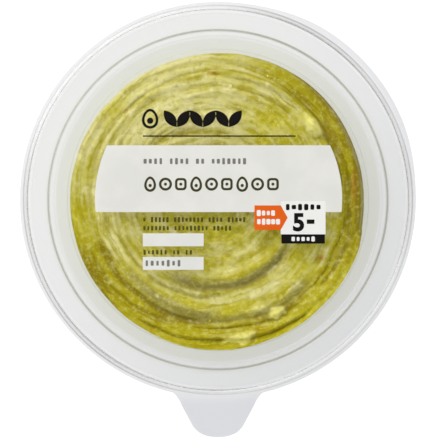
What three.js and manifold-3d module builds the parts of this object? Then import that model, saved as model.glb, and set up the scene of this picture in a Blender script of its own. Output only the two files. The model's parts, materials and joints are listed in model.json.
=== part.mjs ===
// A shut clear tub of guacamole: the round thermoformed tub, the swirled dip in it, the press-on
// lid with its grip tab, and the clear round label with its printed fields.
// Millimetres, +Z up. The origin is the middle of the flat underside. The grip tab points to -Y.

import * as THREE from "three";
import { mergeVertices } from "three/addons/utils/BufferGeometryUtils.js";
import Module from "manifold-3d";

const wasm = await Module();
wasm.setup();

// Facets round the turned plastic pieces, and round the dip.
const ROUND_STEPS = 72;
const SWIRL_STEPS = 96;
const CORNER_STEPS = 2;

// Tub: inner wall radii, and heights above the surface that it stands on.
const WALL = 0.6;
const FLOOR = 0.75;
const FOOT_RADIUS = 40.8;
const FOOT_ROUNDING = 4;
const DIP_LEVEL = 27;
const LEVEL_RADIUS = 44.9;
const SHOULDER_HEIGHT = 32.25;
const SHOULDER_RADIUS = 45.7;
const SHOULDER_ROUNDING = 1.3;
const SEAT_HEIGHT = 33.25;
const SEAT_RADIUS = 50.1;
const MOUTH_RADIUS = 51.8;
const TUB_HEIGHT = 37.25;
const FLANGE_RADIUS = 56.2;
const FLANGE_THICKNESS = 0.75;

// Lid: a recessed panel, a step up to a flat ring over the tub's flange, then a flared skirt.
const LID_SHEET = 0.5;
const PANEL_HEIGHT = 34.5;
const PANEL_RADIUS = 49.3;
const RING_INNER_RADIUS = 51;
const RING_OUTER_RADIUS = 57.2;
const SNAP_DEPTH = 0.6;
const SNAP_HEIGHT = 36;
const SKIRT_RADIUS = 58.7;
const TRIM_HEIGHT = 31.75;
const TRIM_RADIUS = 59.8;
const LID_ROUNDING = 0.5;

// Grip tab, in the plane of the lid's trim edge: half widths, and distances from the lid's axis.
const TAB_ROOT_HALF = 14.4;
const TAB_FILLET = 2.6;
const TAB_FLARE = 0.9;
const TAB_TIP_SWEEP = 2;
const TAB_NECK_HALF = 10.9;
const TAB_NECK_REACH = 62.2;
const TAB_TIP_HALF = 8;
const TAB_TIP_REACH = 67.6;
const TAB_REACH = 71.7;

// Dip: the clearance to the tub, the height of its heap, and the rings of facets on its top.
const CLEARANCE = 0.3;
const HEAP_RADIUS = 37.5;
const HEAP_RISE = 1;
const WALL_SMEAR = 0.7;
const EDGE_WIDTH = 2.5;
const RIPPLE_PITCH = 4.6;
const RIPPLE_HEIGHT = 0.2;
const TOP_RINGS = 27;

// Across a fold, in shares of its width: the raised lip, then the groove under it. Along it, the
// share of its length in which each end fades out.
const LIP = { middle: -0.55, spread: 0.7 };
const GROOVE = { middle: 0.25, spread: 0.3, depth: 0.9 };
const FOLD_FADE = 0.2;

// Folds of the swirl. Each runs round the middle from one angle to another, in degrees from +X,
// and its radius grows by drift on the way. lip is +1 where the raised edge is on the inner side.
const FOLDS = [
  { radius: 37.3, from: -10, to: 96, drift: 4.4, lip: 1, height: 0.9, width: 2.6 },
  { radius: 37.3, from: -166, to: -84, drift: -0.4, lip: 1, height: 0.9, width: 2.6 },
  { radius: 43, from: -128, to: -76, drift: -1.6, lip: 1, height: 0.7, width: 2 },
  { radius: 36.4, from: -128, to: -22, drift: 0.6, lip: 1, height: 1, width: 3.4 },
  { radius: 26.6, from: -132, to: -24, drift: -2, lip: 1, height: 1.3, width: 3.6 },
  { radius: 33.6, from: 38, to: 116, drift: 1, lip: 1, height: 0.8, width: 2.4 },
  { radius: 22.2, from: 40, to: 150, drift: 4, lip: 1, height: 0.8, width: 2.8 },
  { radius: 31.2, from: 182, to: 284, drift: -3, lip: 1, height: 0.7, width: 2.4 },
  { radius: 38.3, from: 98, to: 168, drift: 0.6, lip: 1, height: 0.6, width: 2 },
  { radius: 14, from: -40, to: 130, drift: 3, lip: 1, height: 0.6, width: 2.4 },
];

// Soft lumps where the spoon lifted off: place, reach and height.
const LUMPS = [
  { x: 28.3, y: 22.3, reach: 2.6, height: 1.3 },
  { x: 17.4, y: -33.4, reach: 1.9, height: 1.6 },
  { x: 7.2, y: -40.6, reach: 2.2, height: 1 },
  { x: 2.2, y: -40.9, reach: 1.6, height: 0.8 },
];

// Label: a clear film disc, and print on it. Print places are measured from the lid's axis.
const LABEL_RADIUS = 37.3;
const LABEL_FILM = 0.25;
const LABEL_OFFSET = new THREE.Vector2(0.2, 0.3);
const PRINT_THICKNESS = 0.125;
const BAND_TOP = 16.4;
const BAND_BOTTOM = -3.7;
const BAND_INSET = 0.1;
const BLOCK_LEFT = -22.6;
const FIELD_RIGHT = -4.3;
const FIELD_HEIGHT = 3.9;
const FIELD_TOPS = [-10.1, -17.2];
const RULE_RIGHT = 23.4;
const RULE_HEIGHT = 19.3;
const RULE_WIDTH = 0.35;
const FLASH_LEFT = 11;
const FLASH_MIDDLE = 18.9;
const FLASH_RIGHT = 32.4;
const FLASH_TOP = -0.4;
const FLASH_BOTTOM = -10.4;
const ARROW_TOP = -1.7;
const ARROW_BOTTOM = -9.1;
const ARROW_TIP = 21;
const BAR_BOTTOM = -13.2;
const BAR_INSET = 0.2;

// Looks.
const CLEAR = { color: 0xe6eaec, roughness: 0.12, metalness: 0, transparent: true, opacity: 0.4 };
const MATERIALS = {
  tub: new THREE.MeshStandardMaterial(CLEAR),
  lid: new THREE.MeshStandardMaterial({ ...CLEAR, opacity: 0.35 }),
  film: new THREE.MeshStandardMaterial({ ...CLEAR, roughness: 0.35, opacity: 0.25 }),
  dip: new THREE.MeshStandardMaterial({ color: 0xb4ab48, roughness: 0.45, metalness: 0 }),
  white: new THREE.MeshStandardMaterial({ color: 0xe6e6e4, roughness: 0.5, metalness: 0 }),
  orange: new THREE.MeshStandardMaterial({ color: 0xf0550f, roughness: 0.5, metalness: 0 }),
  black: new THREE.MeshStandardMaterial({ color: 0x14130f, roughness: 0.5, metalness: 0 }),
};

const { radToDeg, smoothstep, euclideanModulo } = THREE.MathUtils;

// A geometry with its shared vertices joined, so that it is one closed body.
function joined(geometry) {
  geometry.deleteAttribute("normal");
  geometry.deleteAttribute("uv");
  return mergeVertices(geometry, 1e-4);
}

function named(name, geometry, material) {
  geometry.computeVertexNormals();
  const mesh = new THREE.Mesh(geometry, material);
  mesh.name = name;
  return mesh;
}

// The points of a half section whose corners are [radius, height, rounding].
function halfSection(corners) {
  const path = new THREE.Path();
  const at = (i) => new THREE.Vector2(corners[i][0], corners[i][1]);
  path.moveTo(corners[0][0], corners[0][1]);
  for (let i = 1; i < corners.length; i++) {
    const corner = at(i);
    const rounding = corners[i][2] ?? 0;
    if (rounding === 0) {
      path.lineTo(corner.x, corner.y);
      continue;
    }
    const enter = at(i - 1).sub(corner).setLength(rounding).add(corner);
    const leave = at(i + 1).sub(corner).setLength(rounding).add(corner);
    path.lineTo(enter.x, enter.y);
    path.quadraticCurveTo(corner.x, corner.y, leave.x, leave.y);
  }
  return path.getPoints(CORNER_STEPS);
}

// A half section turned about +Z.
function turned(points, steps) {
  return joined(new THREE.LatheGeometry(points, steps).rotateX(Math.PI / 2));
}

function tub() {
  const underside = TUB_HEIGHT - FLANGE_THICKNESS;
  return turned(
    halfSection([
      [0, 0],
      [FOOT_RADIUS + WALL, 0, FOOT_ROUNDING],
      [SHOULDER_RADIUS + WALL, SHOULDER_HEIGHT - WALL, SHOULDER_ROUNDING],
      [SEAT_RADIUS + WALL, SEAT_HEIGHT - WALL, SHOULDER_ROUNDING],
      [MOUTH_RADIUS + WALL, underside],
      [FLANGE_RADIUS, underside],
      [FLANGE_RADIUS, TUB_HEIGHT],
      [MOUTH_RADIUS, TUB_HEIGHT],
      [SEAT_RADIUS, SEAT_HEIGHT, SHOULDER_ROUNDING],
      [SHOULDER_RADIUS, SHOULDER_HEIGHT, SHOULDER_ROUNDING],
      [FOOT_RADIUS, FLOOR, FOOT_ROUNDING],
      [0, FLOOR],
    ]),
    ROUND_STEPS,
  );
}

// A smooth hump that is 1 at its middle.
function hump(x, { middle, spread }) {
  return Math.exp(-(((x - middle) / spread) ** 2));
}

// How much one fold lifts the dip at a radius and an angle.
function foldLift(fold, radius, angle) {
  const along = euclideanModulo(angle - fold.from, 360) / (fold.to - fold.from);
  if (along > 1) return 0;
  const ends = smoothstep(Math.min(along, 1 - along), 0, FOLD_FADE);
  const across = ((radius - fold.radius - fold.drift * along ** 2) * fold.lip) / fold.width;
  return fold.height * ends * (hump(across, LIP) - GROOVE.depth * hump(across, GROOVE));
}

function lumpLift(lump, x, y) {
  return lump.height * hump(Math.hypot(x - lump.x, y - lump.y), { middle: 0, spread: lump.reach });
}

// Low spiral ripples left by the spoon, stronger on some sides than on others.
function rippleLift(radius, angle) {
  const turns = radius / RIPPLE_PITCH - angle / 360;
  const patches = 0.55 + 0.45 * Math.sin((2 * Math.PI * angle) / 180 + radius / RIPPLE_PITCH);
  const start = smoothstep(radius, 0, 2 * RIPPLE_PITCH);
  return RIPPLE_HEIGHT * start * patches * Math.sin(2 * Math.PI * turns);
}

// The height of the swirled top over the plain level.
function swirl(x, y) {
  const radius = Math.hypot(x, y);
  const angle = radToDeg(Math.atan2(y, x));
  const heap = HEAP_RISE * (1 - (radius / HEAP_RADIUS) ** 2);
  const smear = WALL_SMEAR * smoothstep(radius, HEAP_RADIUS, LEVEL_RADIUS);
  const folds = FOLDS.reduce((sum, fold) => sum + foldLift(fold, radius, angle), 0);
  const lumps = LUMPS.reduce((sum, lump) => sum + lumpLift(lump, x, y), 0);
  const edge = 1 - smoothstep(radius, LEVEL_RADIUS - EDGE_WIDTH, LEVEL_RADIUS - CLEARANCE);
  return heap + smear + (rippleLift(radius, angle) + folds + lumps) * edge;
}

// The dip fills the tub's foot and wall up to its level, and its top is then swirled.
function dip() {
  const rim = LEVEL_RADIUS - CLEARANCE;
  const points = halfSection([
    [0, FLOOR],
    [FOOT_RADIUS - CLEARANCE, FLOOR, FOOT_ROUNDING],
    [rim, DIP_LEVEL],
  ]);
  for (let ring = TOP_RINGS - 1; ring >= 0; ring--)
    points.push(new THREE.Vector2((rim * ring) / TOP_RINGS, DIP_LEVEL));
  const geometry = turned(points, SWIRL_STEPS);
  const place = geometry.attributes.position;
  for (let i = 0; i < place.count; i++)
    if (place.getZ(i) > DIP_LEVEL - 0.01)
      place.setZ(i, DIP_LEVEL + swirl(place.getX(i), place.getY(i)));
  return geometry;
}

// The lid's turned sheet: its upper face from the axis outwards, then its lower face back.
function lidSheet() {
  const top = TUB_HEIGHT + LID_SHEET;
  const lean = (RING_INNER_RADIUS - PANEL_RADIUS) / (top - PANEL_HEIGHT);
  const plug = LID_SHEET * Math.hypot(1, lean);
  return turned(
    halfSection([
      [0, PANEL_HEIGHT - LID_SHEET],
      [PANEL_RADIUS + plug - lean * LID_SHEET, PANEL_HEIGHT - LID_SHEET],
      [RING_INNER_RADIUS + plug - lean * LID_SHEET, TUB_HEIGHT],
      [RING_OUTER_RADIUS - LID_SHEET, TUB_HEIGHT],
      [RING_OUTER_RADIUS - SNAP_DEPTH - LID_SHEET, SNAP_HEIGHT],
      [SKIRT_RADIUS - LID_SHEET, TRIM_HEIGHT - LID_SHEET],
      [TRIM_RADIUS, TRIM_HEIGHT - LID_SHEET],
      [TRIM_RADIUS, TRIM_HEIGHT],
      [SKIRT_RADIUS, TRIM_HEIGHT],
      [RING_OUTER_RADIUS - SNAP_DEPTH, SNAP_HEIGHT],
      [RING_OUTER_RADIUS, top, LID_ROUNDING],
      [RING_INNER_RADIUS, top, LID_ROUNDING],
      [PANEL_RADIUS, PANEL_HEIGHT, LID_ROUNDING],
      [0, PANEL_HEIGHT],
    ]),
    ROUND_STEPS,
  );
}

function gripTab() {
  const hold = (SKIRT_RADIUS + TRIM_RADIUS) / 2;
  const spread = Math.asin(TAB_ROOT_HALF / hold);
  const root = -hold * Math.cos(spread);
  const bend = TAB_NECK_REACH - TAB_FILLET;
  const shape = new THREE.Shape();
  shape.moveTo(TAB_ROOT_HALF, root);
  shape.absarc(0, 0, hold, spread - Math.PI / 2, -spread - Math.PI / 2, true);
  shape.quadraticCurveTo(-TAB_NECK_HALF - TAB_FLARE, -bend, -TAB_NECK_HALF, -TAB_NECK_REACH);
  shape.lineTo(-TAB_TIP_HALF, -TAB_TIP_REACH);
  shape.quadraticCurveTo(-TAB_TIP_HALF + TAB_TIP_SWEEP, -TAB_REACH, 0, -TAB_REACH);
  shape.quadraticCurveTo(TAB_TIP_HALF - TAB_TIP_SWEEP, -TAB_REACH, TAB_TIP_HALF, -TAB_TIP_REACH);
  shape.lineTo(TAB_NECK_HALF, -TAB_NECK_REACH);
  shape.quadraticCurveTo(TAB_NECK_HALF + TAB_FLARE, -bend, TAB_ROOT_HALF, root);
  const solid = { depth: LID_SHEET, bevelEnabled: false, curveSegments: 10 };
  return joined(
    new THREE.ExtrudeGeometry(shape, solid).translate(0, 0, TRIM_HEIGHT - LID_SHEET),
  );
}

function solidOf(geometry) {
  return new wasm.Manifold(
    new wasm.Mesh({
      numProp: 3,
      vertProperties: new Float32Array(geometry.attributes.position.array),
      triVerts: new Uint32Array(geometry.index.array),
    }),
  );
}

function geometryOf(solid) {
  const mesh = solid.getMesh();
  return new THREE.BufferGeometry()
    .setAttribute("position", new THREE.BufferAttribute(mesh.vertProperties, 3))
    .setIndex(new THREE.BufferAttribute(mesh.triVerts, 1));
}

function lid() {
  return geometryOf(solidOf(lidSheet()).add(solidOf(gripTab())));
}

function labelFilm() {
  const top = PANEL_HEIGHT + LABEL_FILM;
  const corners = [
    [0, PANEL_HEIGHT],
    [LABEL_RADIUS, PANEL_HEIGHT],
    [LABEL_RADIUS, top],
    [0, top],
  ];
  return turned(halfSection(corners), ROUND_STEPS).translate(LABEL_OFFSET.x, LABEL_OFFSET.y, 0);
}

// A printed field: a thin plate of the given outline on the label.
function printed(shape) {
  const solid = { depth: PRINT_THICKNESS, bevelEnabled: false, curveSegments: 12 };
  return joined(
    new THREE.ExtrudeGeometry(shape, solid).translate(0, 0, PANEL_HEIGHT + LABEL_FILM),
  );
}

function polygon(points) {
  return new THREE.Shape(points.map(([x, y]) => new THREE.Vector2(x, y)));
}

function box(left, right, bottom, top) {
  return polygon([
    [left, bottom],
    [right, bottom],
    [right, top],
    [left, top],
  ]);
}

// The pale band runs right across the film, and stops round the two fields of the price flash.
function bandShape() {
  const { x, y } = LABEL_OFFSET;
  const rim = LABEL_RADIUS - BAND_INSET;
  const angleAt = (height) => Math.asin((height - y) / rim);
  const low = angleAt(BAND_BOTTOM);
  const high = angleAt(BAND_TOP);
  const shape = new THREE.Shape();
  shape.moveTo(FLASH_LEFT, BAND_BOTTOM);
  shape.lineTo(FLASH_LEFT, ARROW_TOP);
  shape.lineTo(FLASH_MIDDLE, ARROW_TOP);
  shape.lineTo(FLASH_MIDDLE, FLASH_TOP);
  shape.lineTo(FLASH_RIGHT, FLASH_TOP);
  shape.lineTo(FLASH_RIGHT, BAND_BOTTOM);
  shape.absarc(x, y, rim, low, high, false);
  shape.absarc(x, y, rim, Math.PI - high, Math.PI - low, false);
  shape.lineTo(FLASH_LEFT, BAND_BOTTOM);
  return shape;
}

function arrowShape() {
  return polygon([
    [FLASH_LEFT, ARROW_BOTTOM],
    [FLASH_MIDDLE, ARROW_BOTTOM],
    [ARROW_TIP, (ARROW_TOP + ARROW_BOTTOM) / 2],
    [FLASH_MIDDLE, ARROW_TOP],
    [FLASH_LEFT, ARROW_TOP],
  ]);
}

function panelShape() {
  return polygon([
    [FLASH_MIDDLE, FLASH_BOTTOM],
    [FLASH_RIGHT, FLASH_BOTTOM],
    [FLASH_RIGHT, FLASH_TOP],
    [FLASH_MIDDLE, FLASH_TOP],
    [FLASH_MIDDLE, ARROW_TOP],
    [ARROW_TIP, (ARROW_TOP + ARROW_BOTTOM) / 2],
    [FLASH_MIDDLE, ARROW_BOTTOM],
  ]);
}

function label() {
  const { film, white, orange, black } = MATERIALS;
  const rule = box(BLOCK_LEFT, RULE_RIGHT, RULE_HEIGHT - RULE_WIDTH, RULE_HEIGHT);
  const bar = box(FLASH_MIDDLE + BAR_INSET, FLASH_RIGHT - BAR_INSET, BAR_BOTTOM, FLASH_BOTTOM);
  const group = new THREE.Group();
  group.add(
    named("label_film", labelFilm(), film),
    named("label_band", printed(bandShape()), white),
    named("label_rule", printed(rule), black),
    named("flash_arrow", printed(arrowShape()), orange),
    named("flash_panel", printed(panelShape()), white),
    named("flash_bar", printed(bar), black),
  );
  FIELD_TOPS.forEach((top, i) => {
    const field = box(BLOCK_LEFT, FIELD_RIGHT, top - FIELD_HEIGHT, top);
    group.add(named(`label_field_${i + 1}`, printed(field), white));
  });
  return group;
}

const pack = new THREE.Group();
pack.add(
  named("tub", tub(), MATERIALS.tub),
  named("guacamole", dip(), MATERIALS.dip),
  named("lid", lid(), MATERIALS.lid),
  label(),
);

export default pack;
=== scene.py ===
# %% [markdown]
# A shut tub of guacamole
#
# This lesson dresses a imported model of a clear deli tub. The pack is a round tub pressed from
# clear sheet, the swirled dip inside it, a clear lid with a grip tab, and a clear round label.
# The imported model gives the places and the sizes, and each cell adds one piece or one finish.

import json
import math

import bmesh
import bpy
import numpy as np
from mathutils import Matrix, Vector

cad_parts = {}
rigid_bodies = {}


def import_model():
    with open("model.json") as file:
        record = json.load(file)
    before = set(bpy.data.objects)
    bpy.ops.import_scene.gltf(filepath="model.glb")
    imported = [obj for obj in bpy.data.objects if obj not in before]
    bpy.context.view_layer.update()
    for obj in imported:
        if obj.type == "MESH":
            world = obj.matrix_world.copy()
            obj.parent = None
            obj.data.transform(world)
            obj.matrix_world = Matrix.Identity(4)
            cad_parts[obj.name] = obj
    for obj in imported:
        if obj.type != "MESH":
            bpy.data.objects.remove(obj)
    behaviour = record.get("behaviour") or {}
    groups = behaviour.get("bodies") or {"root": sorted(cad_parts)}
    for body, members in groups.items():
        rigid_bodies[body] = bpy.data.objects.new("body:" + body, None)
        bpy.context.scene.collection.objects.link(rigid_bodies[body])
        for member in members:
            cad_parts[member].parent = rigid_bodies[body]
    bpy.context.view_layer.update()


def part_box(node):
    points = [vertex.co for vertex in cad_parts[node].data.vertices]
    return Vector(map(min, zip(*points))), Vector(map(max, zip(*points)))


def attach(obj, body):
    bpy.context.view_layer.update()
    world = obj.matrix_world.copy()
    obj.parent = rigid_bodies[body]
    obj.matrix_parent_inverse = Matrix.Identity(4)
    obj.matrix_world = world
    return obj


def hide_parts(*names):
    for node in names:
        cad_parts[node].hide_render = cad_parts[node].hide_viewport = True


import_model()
MM = 0.001


def node_box(node):
    """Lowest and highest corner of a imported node, in millimetres."""
    low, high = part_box(node)
    return np.array(low) / MM, np.array(high) / MM


TUB_HIGH = node_box("tub")[1]
LID_LOW, LID_HIGH = node_box("lid")
FILM_LOW, FILM_HIGH = node_box("label_film")
print("tub", TUB_HIGH.round(2), "lid", LID_HIGH.round(2), "film", FILM_HIGH.round(2))

# %% [markdown]
# The camera
#
# The photo looks straight down with a long lens, so the tub's walls hardly spread. A long lens far
# away is the simplest way to get that. The picture is 440 pixels wide, and 0.3 mm of the lid's top
# falls on each of them. The middle of the lid isn't quite in the middle of the picture, so the
# camera stands a few millimetres to the side instead of using a shifted lens.

# %% Camera
PICTURE_PIXELS = 440
PIXEL_MM = 0.3
LID_MIDDLE_PIXEL = (217.9, 199.7)
CAMERA_HEIGHT_MM = 900
SENSOR_MM = 36
FARTHEST_M = 10


def new_object(name, data):
    """Puts a new object with this data in the scene."""
    made = bpy.data.objects.new(name, data)
    bpy.context.scene.collection.objects.link(made)
    return made


camera_data = bpy.data.cameras.new("overhead_camera")
camera_data.sensor_width = SENSOR_MM
camera_data.lens = SENSOR_MM * CAMERA_HEIGHT_MM / (PICTURE_PIXELS * PIXEL_MM)
camera_data.clip_end = FARTHEST_M
camera = new_object("overhead_camera", camera_data)
eye_x = (PICTURE_PIXELS / 2 - LID_MIDDLE_PIXEL[0]) * PIXEL_MM
eye_y = (LID_MIDDLE_PIXEL[1] - PICTURE_PIXELS / 2) * PIXEL_MM
camera.location = Vector((eye_x, eye_y, LID_HIGH[2] + CAMERA_HEIGHT_MM)) * MM
bpy.context.scene.camera = camera
bpy.context.scene.view_settings.view_transform = "Standard"
print("lens", round(camera_data.lens, 1), "mm")

# %% [markdown]
# One way to add a node
#
# Shaders, the sky and Geometry Nodes are all node trees, so one function can add a node to any of
# them. It takes the settings first, because a setting can switch sockets on and off. An input gets
# a number, or a link from a socket, or a whole node, which then stands for its first live output.


# %% Node helpers
def set_stops(ramp, stops):
    """Gives a colour ramp its stops. A stop is a place and a grey level."""
    while len(ramp.elements) < len(stops):
        ramp.elements.new(0.5)
    for element, (place, level) in zip(ramp.elements, stops):
        element.position = place
        element.color = (level, level, level, 1)


def feed(tree, socket, value):
    """Sets an input, or links it to a wire, a socket or a node."""
    value = getattr(value, "socket", value)
    if isinstance(value, bpy.types.Node):
        value = next(s for s in value.outputs if s.enabled)
    if isinstance(value, bpy.types.NodeSocket):
        tree.links.new(value, socket)
    else:
        socket.default_value = value


def add_node(tree, kind, settings=None, *values, **named):
    """Adds a node: its settings, then inputs in their order, then inputs by name."""
    node = tree.nodes.new(kind)
    for key, value in (settings or {}).items():
        if key == "stops":
            set_stops(node.color_ramp, value)
        else:
            setattr(node, key, value)
    for socket, value in zip(node.inputs, values):
        feed(tree, socket, value)
    for key, value in named.items():
        feed(tree, node.inputs[key.replace("_", " ")], value)
    return node


# %% [markdown]
# Shader maths as plain expressions
#
# A shader that is written out link by link is hard to read. Here a small class wraps one output
# socket, and its operators add the Math nodes, so 1 - mask works as it reads. Colours go through
# Mix nodes instead, because a Math node would turn them grey.


# %% Shader helpers
class Wire:
    """One output of a shader node, with arithmetic."""

    def __init__(self, tree, socket):
        self.tree = tree
        self.socket = socket

    def math(self, operation, *values):
        node = add_node(self.tree, "ShaderNodeMath", {"operation": operation}, *values)
        return Wire(self.tree, node.outputs[0])

    def root(self):
        return self.math("SQRT", self)

    def __add__(self, other):
        return self.math("ADD", self, other)

    def __sub__(self, other):
        return self.math("SUBTRACT", self, other)

    def __rsub__(self, other):
        return self.math("SUBTRACT", other, self)

    def __mul__(self, other):
        return self.math("MULTIPLY", self, other)

    def __truediv__(self, other):
        return self.math("DIVIDE", self, other)

    def __rtruediv__(self, other):
        return self.math("DIVIDE", other, self)

    __radd__ = __add__
    __rmul__ = __mul__

    def smooth(self, low, high, start=0.0, end=1.0):
        """Eases from start to end as the value goes from low to high."""
        settings = {"interpolation_type": "SMOOTHSTEP"}
        node = add_node(self.tree, "ShaderNodeMapRange", settings, self, low, high, start, end)
        return Wire(self.tree, node.outputs[0])


class Finish:
    """A material in the making: its tree, its Principled shader and its output."""

    def __init__(self, name):
        self.material = bpy.data.materials.new(name)
        self.material.use_nodes = True
        self.tree = self.material.node_tree
        self.shader = self.tree.nodes["Principled BSDF"]
        self.output = self.tree.nodes["Material Output"]

    def wire(self, output, kind, settings=None, *values, **named):
        """Adds a node and returns one of its outputs."""
        node = add_node(self.tree, kind, settings, *values, **named)
        return Wire(self.tree, node.outputs[output])

    def blend(self, factor, first, second, mode="MIX"):
        """Mixes two colours. A colour is a wire or three numbers."""
        node = add_node(self.tree, "ShaderNodeMix", {"data_type": "RGBA", "blend_type": mode})
        first, second = (v if isinstance(v, Wire) else (*v, 1) for v in (first, second))
        values = {"Factor_Float": factor, "A_Color": first, "B_Color": second}
        for socket in node.inputs:
            if socket.identifier in values:
                feed(self.tree, socket, values[socket.identifier])
        return Wire(self.tree, next(s for s in node.outputs if s.identifier == "Result_Color"))

    def place(self, turn=0.0):
        """Object coordinates, turned about the upright axis."""
        at = self.wire("Object", "ShaderNodeTexCoord")
        return self.wire(0, "ShaderNodeMapping", Vector=at, Rotation=(0, 0, turn))

    def across(self, turn=0.0):
        """X and Y of the Object coordinates, turned about the upright axis."""
        split = add_node(self.tree, "ShaderNodeSeparateXYZ", {}, self.place(turn))
        return [Wire(self.tree, split.outputs[axis]) for axis in "XY"]

    def grain(self, scale, detail=3.0, rough=0.5):
        """Noise in Object coordinates, whose scale is in waves a metre."""
        inputs = {"Vector": self.place(), "Scale": scale, "Detail": detail, "Roughness": rough}
        return self.wire(0, "ShaderNodeTexNoise", **inputs)

    def attribute(self, name):
        return self.wire("Fac", "ShaderNodeAttribute", {"attribute_name": name})

    def bump(self, height, strength, distance):
        inputs = {"Height": height, "Strength": strength, "Distance": distance}
        self.set(Normal=self.wire(0, "ShaderNodeBump", **inputs))

    def set(self, **values):
        for key, value in values.items():
            feed(self.tree, self.shader.inputs[key.replace("_", " ")], value)


def srgb(*levels):
    """A linear colour from the 0 to 255 levels that a photo shows."""
    return tuple(
        c / 12.92 if c <= 0.04045 else ((c + 0.055) / 1.055) ** 2.4
        for c in (level / 255 for level in levels)
    )


print("level 128 of a photo is", round(srgb(128)[0], 3), "in linear light")

# %% [markdown]
# Clear sheet
#
# The tub and the lid are pressed from clear sheet. The real sheet isn't quite colourless: it greys
# the white below it, mirrors the lights softly, and shows its bends as fine dark lines where they
# turn the light aside. A Principled shader with full transmission does the first two, and rings of
# a darker base colour paint that shade of the bends, at the radii where they show on the real pack.
# Light has to reach the dip through the sheet as well, so a shadow ray meets a plain Transparent
# shader instead.

# %% Clear sheet finish
LINE_TURN = math.radians(-33)
# The base colour of the painted shade at the bends of the sheet.
BEND_SHADE_COLOUR = (0.12, 0.115, 0.09)
SHEET_SHADOW = 0.985
SHEET_WAVES, WAVE_DEPTH_M = 0.02, 0.0008

# Each ring of painted bend shade has a radius and a half width in mm, a strength, and the share of
# the strength that shows at two opposite sides only, because the lights stand there.
LID_BEND_SHADES = [
    (49.4, 0.4, 0.1, 0),
    (50.95, 0.4, 0.46, 0.2),
    (57.45, 0.45, 0.5, 1.0),
    (58.6, 0.45, 0.4, 0.6),
    (58.2, 1.1, 0.08, 0.7),
]
TUB_BEND_SHADES = [(55.9, 0.3, 0.02, 0)]


def painted_bend_shade(finish, lines):
    """How dark the painted shade of the bends is at each place."""
    x, y = finish.across(LINE_TURN)
    radius = (x * x + y * y).root()
    sides = x * x / (radius * radius)
    patch = finish.grain(18, detail=2).smooth(0.35, 0.65, 0.75, 1.1)
    dark = 0.0
    for middle, width, strength, at_sides in lines:
        away = (radius - middle * MM) * (1 / (width * MM))
        line = (away * away).smooth(1.0, 0.0, 0.0, strength)
        dark = dark + line * sides.smooth(0.2, 0.7, 1 - at_sides, 1.0)
    return dark * patch


def clear_shadow(finish, share):
    """Lets this share of a lamp's light through, where the shader alone would stop it."""
    clear = finish.wire(0, "ShaderNodeBsdfTransparent", {}, (share, share, share, 1))
    is_shadow = finish.wire("Is Shadow Ray", "ShaderNodeLightPath")
    mixed = finish.wire(0, "ShaderNodeMixShader", {}, is_shadow, finish.shader, clear)
    feed(finish.tree, finish.output.inputs["Surface"], mixed)


def clear_sheet(name, tint, bending, lines):
    """Finish of a pressed sheet. Bending is its index of refraction."""
    finish = Finish(name)
    ripple = finish.grain(55, detail=2)
    scuff = finish.grain(900, detail=3, rough=0.6)
    finish.set(
        # The tint, with rings of painted shade at the bends.
        Base_Color=finish.blend(painted_bend_shade(finish, lines), tint, BEND_SHADE_COLOUR),
        Transmission_Weight=1.0,
        IOR=bending,
        Roughness=scuff.smooth(0.45, 0.75, 0.05, 0.1),
    )
    finish.bump(ripple, SHEET_WAVES, WAVE_DEPTH_M)
    clear_shadow(finish, SHEET_SHADOW)
    print(name, "with", len(lines), "bend lines")
    return finish.material


LID_FINISH = clear_sheet("clear_lid_sheet", (0.955, 0.962, 0.97), 1.22, LID_BEND_SHADES)
TUB_FINISH = clear_sheet("clear_tub_sheet", (0.965, 0.97, 0.955), 1.05, TUB_BEND_SHADES)

# %% [markdown]
# Turned shells with Geometry Nodes
#
# The tub and the lid both follow one rule: a thin outline turned about the upright axis. In
# Geometry Nodes that is Curve to Mesh, with a small circle as the path and the outline as the
# profile. The outline is drawn once in Python from the pack's named sizes, with rounded bends, and
# the tree turns it. The points that meet on the axis are merged, so the poles are closed.

# %% Outline helpers
BEND_STEPS = 7


def bend(start, middle, end, steps=12):
    """Points of a quadratic curve."""
    start, middle, end = (np.array(p, float) for p in (start, middle, end))
    shares = np.linspace(0, 1, steps)[:, None]
    return (1 - shares) ** 2 * start + 2 * shares * (1 - shares) * middle + shares**2 * end


def outline(corners):
    """Points of a closed half section. A corner is radius, height and rounding, in mm."""
    points = []
    for i, (*place, rounding) in enumerate(corners):
        here = np.array(place, float)
        if rounding == 0:
            points.append(here)
            continue
        before, after = (np.array(corners[j][:2]) - here for j in (i - 1, i + 1))
        enter, leave = (here + way / np.linalg.norm(way) * rounding for way in (before, after))
        points.extend(bend(enter, here, leave, BEND_STEPS))
    return np.array(points)


print("a rounded corner has", BEND_STEPS, "points")

# %% Geometry Nodes helpers
def node_tree(name, inputs):
    """A geometry tree with named inputs. Returns the tree, those inputs and its output node."""
    tree = bpy.data.node_groups.new(name, "GeometryNodeTree")
    for label, kind in {"Geometry": "Geometry", **inputs, "Finish": "Material"}.items():
        tree.interface.new_socket(label, in_out="INPUT", socket_type="NodeSocket" + kind)
    tree.interface.new_socket("Geometry", in_out="OUTPUT", socket_type="NodeSocketGeometry")
    return tree, tree.nodes.new("NodeGroupInput").outputs, tree.nodes.new("NodeGroupOutput")


def end_tree(tree, given, result, geometry):
    """Ends a tree as the export needs it: real geometry, with its material set."""
    real = add_node(tree, "GeometryNodeRealizeInstances", Geometry=geometry)
    dressed = add_node(tree, "GeometryNodeSetMaterial", Geometry=real, Material=given["Finish"])
    feed(tree, result.inputs["Geometry"], dressed)
    return tree


def plain_mesh(source):
    """The mesh of an object as it looks with its modifiers or its curve settings."""
    bpy.context.view_layer.update()
    evaluated = source.evaluated_get(bpy.context.evaluated_depsgraph_get())
    return bpy.data.meshes.new_from_object(evaluated)


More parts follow.
